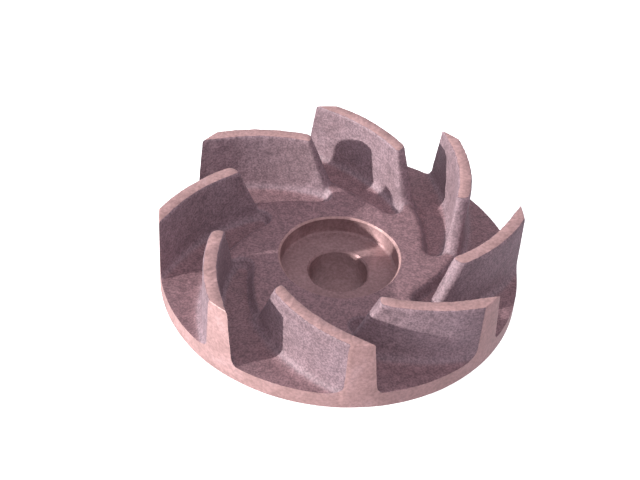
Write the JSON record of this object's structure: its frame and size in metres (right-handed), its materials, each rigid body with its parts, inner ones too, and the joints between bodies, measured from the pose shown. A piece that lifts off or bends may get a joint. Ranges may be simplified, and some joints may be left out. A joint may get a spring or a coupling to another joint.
{
  "type": "water pump impeller",
  "caption": "Semi-open iron impeller: a round plate with curved vanes, a raised counterbored hub and a plain shaft bore through a rear boss.",
  "frame": {"origin": "centre of the bore at the flat end of the rear boss, which the part rests on", "axes": "+Z along the shaft axis towards the inlet and the vanes' flat tops, +X through the outer corner of one vane"},
  "size_m": [0.0952, 0.0952, 0.036],
  "materials": {
    "cast_iron": "as-cast skin with turned running faces"
  },
  "bodies": {
    "root": {"impeller": "cast_iron"}
  },
  "joints": []
}
